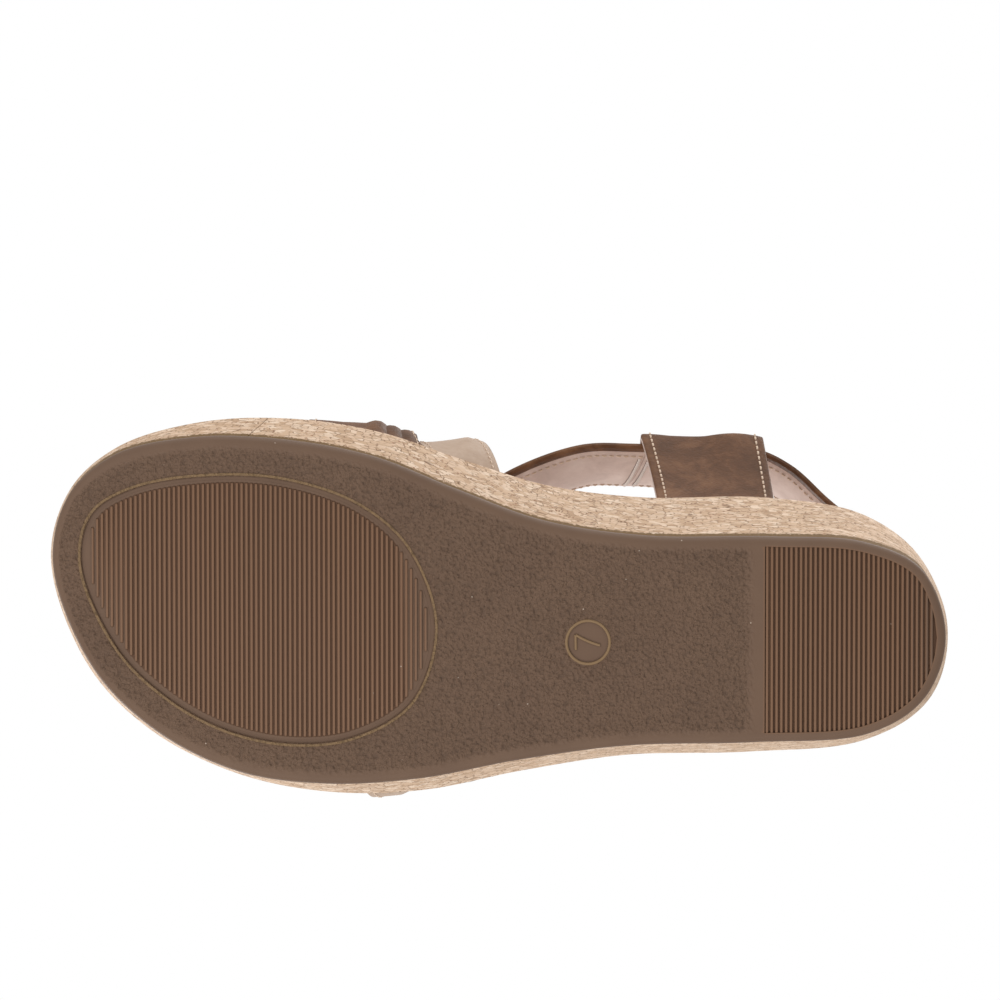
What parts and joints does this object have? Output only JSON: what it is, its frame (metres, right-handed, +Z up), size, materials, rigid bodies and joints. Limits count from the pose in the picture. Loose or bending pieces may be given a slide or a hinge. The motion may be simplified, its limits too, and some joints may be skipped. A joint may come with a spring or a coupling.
{
  "type": "wedge sandal",
  "caption": "Open-toe wedge sandal for the right foot: cork-wrapped wedge, ribbed rubber sole, crossed forefoot straps and a padded ankle collar with a hook-and-loop flap.",
  "frame": {"origin": "on the flat underside of the outsole, halfway along its length and on its middle line", "axes": "+X towards the toe, +Y towards the medial (big toe) side, +Z up"},
  "size_m": [0.2518, 0.1073, 0.1308],
  "materials": {
    "rubber": "moulded, matt, pebbled",
    "cork": "pressed cork granules, matt",
    "eva_foam": "moulded closed-cell foam",
    "fibreboard": "pressed cellulose board",
    "padding": "soft foam sheet",
    "lining": "brushed lining cloth",
    "brown_leather": "semi-matt",
    "tan_leather": "semi-matt",
    "hook_and_loop": "woven tape"
  },
  "bodies": {
    "sandal": {"outsole": "rubber", "wedge_core": "eva_foam", "cork_wrap": "cork", "insole_board": "fibreboard", "footbed_foam": "eva_foam", "sock_lining": "lining", "front_strap_lining": "lining", "front_strap_outer": "brown_leather", "rear_strap_lining": "lining", "rear_strap_outer": "tan_leather", "medial_tab_lining": "lining", "medial_tab_outer": "brown_leather", "lateral_tab_lining": "lining", "lateral_tab_outer": "brown_leather", "heel_strap_lining": "lining", "heel_strap_padding": "padding", "heel_strap_outer": "tan_leather", "heel_strap_lower_binding": "brown_leather", "heel_strap_upper_binding": "brown_leather", "loop_patch": "hook_and_loop"},
    "instep_strap": {"instep_strap_lining": "lining", "instep_strap_padding": "padding", "instep_strap_outer": "brown_leather", "instep_strap_lower_binding": "brown_leather", "instep_strap_upper_binding": "brown_leather"},
    "flap": {"closure_flap": "brown_leather", "hook_patch": "hook_and_loop"}
  },
  "joints": [
    {"name": "strap_swing", "type": "hinge", "parent": "sandal", "child": "instep_strap", "pos_m": [-0.03769, 0.03586, 0.10522], "axis": [-0.2113, -0.3919, 0.8954], "range_deg": [0, 75]},
    {"name": "flap_peel", "type": "hinge", "parent": "instep_strap", "child": "flap", "pos_m": [-0.00054, -0.02784, 0.11093], "axis": [-0.1821, 0.3471, 0.92], "range_deg": [0, 110]}
  ]
}
